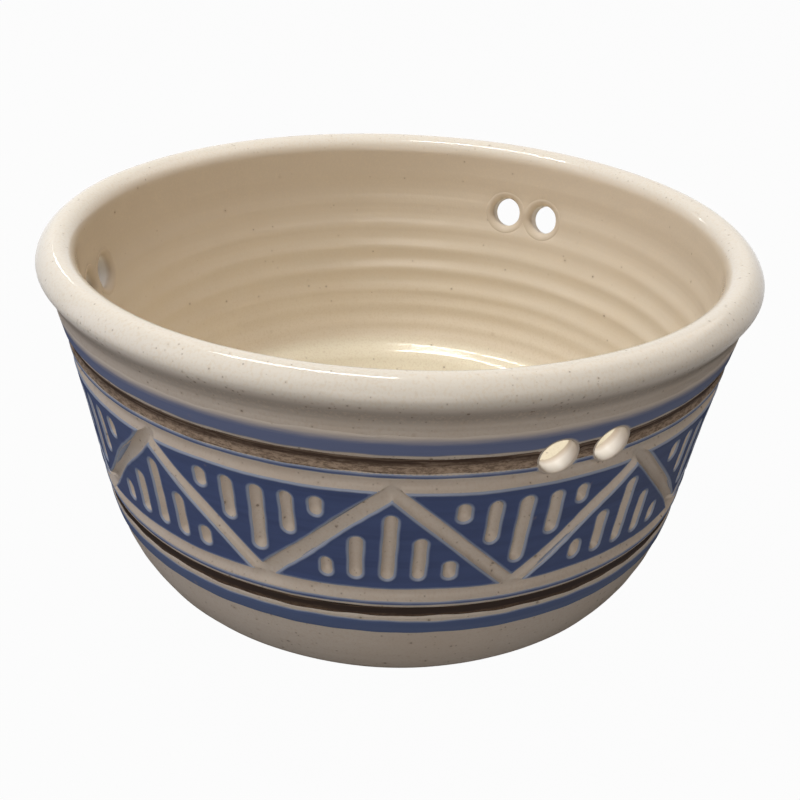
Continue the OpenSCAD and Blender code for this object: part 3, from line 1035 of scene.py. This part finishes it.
def thrown_body():
    """The clay, with its strokes, recesses, holes and foot."""
    low, high = float(BOTTOM_LINE[0] - 0.6), float(UPPER_BLUE[1] + 1.2)
    inner_low, inner_high = INNER_HOLES - HOLE_REACH, INNER_HOLES + HOLE_REACH
    neck = up(NECK_TOP)
    rim = steps(
        (high, neck - 1, 1.1), (neck - 1, GLAZE, 0.4), (GLAZE, GLAZE + 4, 0.4), (GLAZE + 4, inner_low, 2.5))
    inside = steps((inner_high, CORNER_WAY, 5), (CORNER_WAY, FLOOR_END, 8))
    inner_rows = level_rows(steps((inner_low, inner_high, 1.6)), 2.2)
    verts, faces = joined([
        grid(lower_ways(low)),
        patch(low, high, frieze_rows(low, high), 0, hole_steps(0), 0.8),
        grid(rim),
        patch(inner_low, inner_high, inner_rows, 1, hole_steps(1), 1.0),
        grid(inside),
    ])
    points = skin.place(*verts.T, clay_relief(*verts.T))
    for centre in CENTRES:
        ring = len(points) + np.arange(HOLE_POINTS)
        after = len(points) + (np.arange(HOLE_POINTS) + 1) % HOLE_POINTS
        for i in range(TUBE_STEPS):
            near, far = i * HOLE_POINTS, (i + 1) * HOLE_POINTS
            faces += np.c_[ring + near, after + near, after + far, ring + far].tolist()
        points = np.concatenate([points, *bore_rings(centre)])
    bores = np.zeros(len(points) - len(verts))
    ways = verts[:, 1]
    values = {"loose": loose(ways), "crease_shade": crease_shade(ways), "bed": ways > skin.way[TOP]}
    values = {key: np.r_[v, bores] for key, v in values.items()}
    values["tube"] = np.r_[np.zeros(len(verts)), bores + 1]
    piece("thrown_body", points, faces, values, 1, STONEWARE, ["stoneware_body"])


def cream_liner():
    """The glaze inside and over the rim, with finger ridges and open cord holes."""
    low, high = INNER_HOLES - HOLE_REACH, INNER_HOLES + HOLE_REACH
    border = HOLE_SOFT[1] - 0.1
    rim = steps((GLAZE, GLAZE + 4, 0.4), (GLAZE + 4, low, 0.75))
    middle = FLOOR_END - 6
    wall = steps((high, CORNER_WAY, 0.9), (CORNER_WAY, middle, 1.5), (middle, FLOOR_END, 2))
    rings = [border + e for e in (0, 0.3, 0.6, 0.85)]
    rows = level_rows(steps((low, high, 0.8)), 1.5)
    parts = [grid(rim), patch(low, high, rows, 1, rings, 0.8), grid(wall)]
    verts, faces = joined(parts)
    gap = hole_gap(*verts.T, 1)
    front = liner_relief(*verts.T) - 0.16 * smooth(border + 1.3, border, gap)
    sink = smooth(GLAZE, GLAZE + 3, verts[:, 1]) * smooth(border, border + 3, gap)
    back = front - LINER_T - sink * (BED + 0.05 - LINER_T + front)
    points, faces = shell(verts, triangles(faces), front, back)
    ways = np.tile(verts[:, 1], 2)
    values = {"lip": smooth(GLAZE + 6, GLAZE + 1, ways), "crease_shade": crease_shade(ways)}
    values["rim"] = smooth(down(98), down(102), ways)
    piece("cream_liner", points, faces, values, 1, LINER, ["liner_glaze"])


def carved_fields(name, hangs, nodes):
    """The slip left between the strokes: one field, copied round."""
    edge = SHOULDER
    middle = HALF if hangs else 0
    plain_rows = level_rows(steps((*FIELD, 1.7)), 1.9)
    plain_rows = plain_rows[stroke_gap(*plain_rows.T) > 1.9]
    rows = np.r_[stroke_rows((edge, 0.3, 0.5, 0.8, 1.3), 0.5), plain_rows]
    half = HALF * (rows[:, 1] - FIELD[0] if hangs else FIELD[1] - rows[:, 1]) / (FIELD[1] - FIELD[0])
    gap = stroke_gap(rows[:, 0], rows[:, 1])
    ours = (np.abs(rows[:, 0] - middle) < half) & (gap > edge - 0.07)
    ours &= (rows[:, 1] > FIELD[0] - 1) & (rows[:, 1] < FIELD[1] + 1)
    verts, faces = triangulate(spaced(rows[ours], 0.11), lambda u, s: stroke_gap(u, s) > edge - 0.005)
    verts = np.c_[verts[:, 0] / REACH, verts[:, 1]]
    inside = np.maximum(stroke_gap(verts[:, 0] * REACH, verts[:, 1]) - edge, 0)
    ground = outer_relief(*verts.T)
    front = ground - 0.05 + (SLIP_T + 0.05) * smooth(0, 0.3, inside)
    front += BURR * smooth(0, 0.4, inside) * smooth(1.1, 0.5, inside)
    points, closed = shell(verts, faces, front, ground - 0.3)
    values = {"loose": np.tile(loose(verts[:, 1]), 2), "edge": np.tile(inside, 2)}
    piece(name, points, closed, values, REPEATS, FRIEZE_BLUE, nodes)


def brushed_band(name, node, band, wander, finish, coat):
    """A band brushed round the turning bowl, bitten by the cord holes."""
    thick, slot = coat
    clear = HOLE_SOFT[0] - 0.1

    def edges(turn):
        """Ways to the lower and upper edge, which wander."""
        low = np.sin(7 * turn + 1) + 0.6 * np.sin(23 * turn + 4) + 0.5 * np.sin(52 * turn)
        high = np.sin(10 * turn + 3) + 0.6 * np.sin(31 * turn + 1) + 0.5 * np.sin(61 * turn + 2)
        return band[0] - SPREAD + wander * low / 2, band[1] + SPREAD + wander * high / 2

    def inside(turn, s):
        """Distance in from the nearest edge or hole."""
        low, high = edges(turn)
        return np.minimum(np.minimum(s - low, high - s), hole_gap(turn, s, 0) - clear)

    turn = START + np.arange(BAND_COLUMNS + 1) / BAND_COLUMNS * TURN
    low, high = edges(turn)
    flat = BAND_EDGE[-1]
    middle = max(2, round((band[1] - band[0] - 2 * flat) / BAND_ROW))
    rows = [np.c_[turn, low + e] for e in BAND_EDGE] + [np.c_[turn, high - e] for e in BAND_EDGE]
    rows += [np.c_[turn, low + flat + (high - low - 2 * flat) * k / middle] for k in range(1, middle)]
    rows += [hole_ring(c, 0, clear + e) / (REACH, 1) for c in CENTRES for e in BAND_EDGE]
    rows = np.concatenate(rows)
    rows = rows[inside(*rows.T) > -0.01]
    verts, faces = triangulate(spaced(rows * (REACH, 1), 0.15), lambda u, s: inside(u / REACH, s) > 0.004)
    verts = np.c_[verts[:, 0] / REACH, verts[:, 1]]
    depth = np.maximum(inside(*verts.T), 0)
    ground = outer_relief(*verts.T)
    front = ground - 0.1 + (thick + 0.1) * smooth(0, 0.7, depth)
    points, closed = shell(verts, faces, front, ground - 0.35)
    across = (verts[:, 1] - band[0]) / (band[1] - band[0])
    values = {"edge": np.tile(depth, 2), "across": np.tile(across, 2), "loose": np.zeros(2 * len(verts))}
    piece(name, points, closed, values, 1, finish, [node])


thrown_body()
cream_liner()
carved_fields("standing_fields", False, [f"frieze_field_{i}" for i in range(1, 2 * REPEATS, 2)])
carved_fields("hanging_fields", True, [f"frieze_field_{i}" for i in range(2, 2 * REPEATS + 1, 2)])

# Bands: piece, part it stands for, its way, shift of both edges, wander of the brush, finish, coat
BLUE = (BAND_T, "blue_slip")
IRON = (IRON_T, "iron_oxide")
BANDS = [
    ("upper_blue_stripe", "upper_blue_band", UPPER_BLUE, (-0.5, 1.4), 0.3, UPPER_BLUE_SLIP, BLUE),
    ("upper_iron_stripe", "upper_iron_band", UPPER_IRON, (-0.6, 0), 0.25, UPPER_IRON_WASH, IRON),
    ("frieze_upper_edge", "frieze_top_line", TOP_LINE, (0.5, 0.5), 0.12, FRIEZE_BLUE, BLUE),
    ("frieze_lower_edge", "frieze_bottom_line", BOTTOM_LINE, (-0.5, -0.5), 0.12, FRIEZE_BLUE, BLUE),
    ("lower_iron_stripe", "lower_iron_band", LOWER_IRON, (0, 0), 0.25, LOWER_IRON_WASH, IRON),
    ("lower_blue_stripe", "lower_blue_band", LOWER_BLUE, (0, 0), 0.25, LOWER_BLUE_SLIP, BLUE),
]
for name, node, band, shift, *rest in BANDS:
    brushed_band(name, node, (band[0] + shift[0], band[1] + shift[1]), *rest)


# Stage: floor, light and camera

PHOTO_PIXELS = 800
FLOOR_GREY = 0.14
FLOOR_WHITE = 0.97
FLOOR_SIZE = 4
FLOOR_UNDER = -0.2 * MM
WHITE = {"Color": (1, 1, 1, 1), "Strength": 1.0}


def seen_rays(tree):
    """1 for camera, mirror and see-through rays, 0 for those that light the bowl."""
    path = add(tree, "ShaderNodeLightPath").outputs
    mirror = calc(tree, "MAXIMUM", path["Is Glossy Ray"], path["Is Transmission Ray"])
    return calc(tree, "MAXIMUM", path["Is Camera Ray"], mirror)


def pale_floor():
    """A pale floor just under the foot, which the eye sees nearly white."""
    mesh = bpy.data.meshes.new("floor")
    corners = [(x * FLOOR_SIZE, y * FLOOR_SIZE, FLOOR_UNDER) for x, y in ((-1, -1), (1, -1), (1, 1), (-1, 1))]
    mesh.from_pydata(corners, [], [(0, 1, 2, 3)])
    floor = scene_object("floor", mesh)
    material = bpy.data.materials.new("pale_floor")
    material.use_nodes = True
    tree = material.node_tree
    tree.nodes.clear()
    matt = add(tree, "ShaderNodeBsdfDiffuse", {"Color": (FLOOR_GREY, FLOOR_GREY, FLOOR_GREY, 1)}).outputs[0]
    glow = add(tree, "ShaderNodeEmission", WHITE).outputs[0]
    share = calc(tree, "MULTIPLY", seen_rays(tree), FLOOR_WHITE)
    both = add(tree, "ShaderNodeMixShader", {0: share, 1: matt, 2: glow}).outputs[0]
    add(tree, "ShaderNodeOutputMaterial", {"Surface": both})
    mesh.materials.append(material)


def soft_world():
    """A white background with a faint fill light."""
    world = bpy.data.worlds.new("studio")
    bpy.context.scene.world = world
    world.use_nodes = True
    tree = world.node_tree
    tree.nodes.clear()
    fill = add(tree, "ShaderNodeBackground", {"Color": (1, 0.9, 0.8, 1), "Strength": 0.03}).outputs[0]
    white = add(tree, "ShaderNodeBackground", WHITE).outputs[0]
    both = add(tree, "ShaderNodeMixShader", {0: seen_rays(tree), 1: fill, 2: white}).outputs[0]
    add(tree, "ShaderNodeOutputWorld", {"Surface": both})


def lamp(name, turn, rise, distance, wide, long, watts, colour):
    """A soft lamp, aimed at the bowl: turn from behind towards the left, rise above the floor."""
    light = bpy.data.lights.new(name, "AREA")
    light.shape = "RECTANGLE"
    light.size = wide
    light.size_y = long
    light.energy = watts
    light.color = colour
    holder = scene_object(name, light)
    turn, rise = math.radians(turn), math.radians(rise)
    away = Vector((-math.sin(turn) * math.cos(rise), math.cos(turn) * math.cos(rise), math.sin(rise)))
    target = Vector((0, 0, BOWL_H * MM / 2))
    holder.location = target + distance * away
    holder.rotation_euler = away.to_track_quat("Z", "Y").to_euler()


def photo_camera():
    """The photograph's view: distance, height and lens fitted to the rim, bands and holes."""
    focal_pixels = 1134.1
    distance = 0.3506
    aim_z = 0.038
    rise, yaw, pitch, roll = np.radians((29.11, -0.29, 1.18, -2.39)).tolist()
    ahead = Vector((0, math.cos(rise), -math.sin(rise)))
    right = Vector((1, 0, 0))
    upward = right.cross(ahead)
    turned_by = Matrix.Rotation(roll, 3, ahead) @ Matrix.Rotation(yaw, 3, upward)
    turned_by = turned_by @ Matrix.Rotation(pitch, 3, right)
    axes = [turned_by @ v for v in (right, upward, -ahead)]
    data = bpy.data.cameras.new("camera")
    data.sensor_width = 36
    data.lens = focal_pixels * data.sensor_width / PHOTO_PIXELS
    data.clip_start = 0.01
    camera = scene_object("camera", data)
    place = Vector((0, -distance * math.cos(rise), aim_z + distance * math.sin(rise)))
    camera.matrix_world = Matrix.Translation(place) @ Matrix(axes).transposed().to_4x4()
    bpy.context.scene.camera = camera


pale_floor()
soft_world()
lamp("ceiling", 67, 76, 1.0, 0.06, 0.5, 6.7, (1, 1, 0.96))
lamp("front_left", 120, 50, 1.2, 0.8, 0.8, 2.9, (1, 1, 0.95))
lamp("front", 180, 20, 1.2, 0.8, 0.8, 4.3, (1, 0.93, 0.87))
lamp("back_right", -60, 50, 1.2, 0.8, 0.8, 3.6, (1, 0.88, 0.78))
lamp("left", 90, 20, 1.2, 0.8, 0.8, 1.7, (0.8, 0.8, 1))
lamp("window", 30, 25, 1.2, 0.07, 0.07, 0.2, (1, 0.99, 0.97))
photo_camera()
bpy.context.scene.view_settings.view_transform = "Standard"
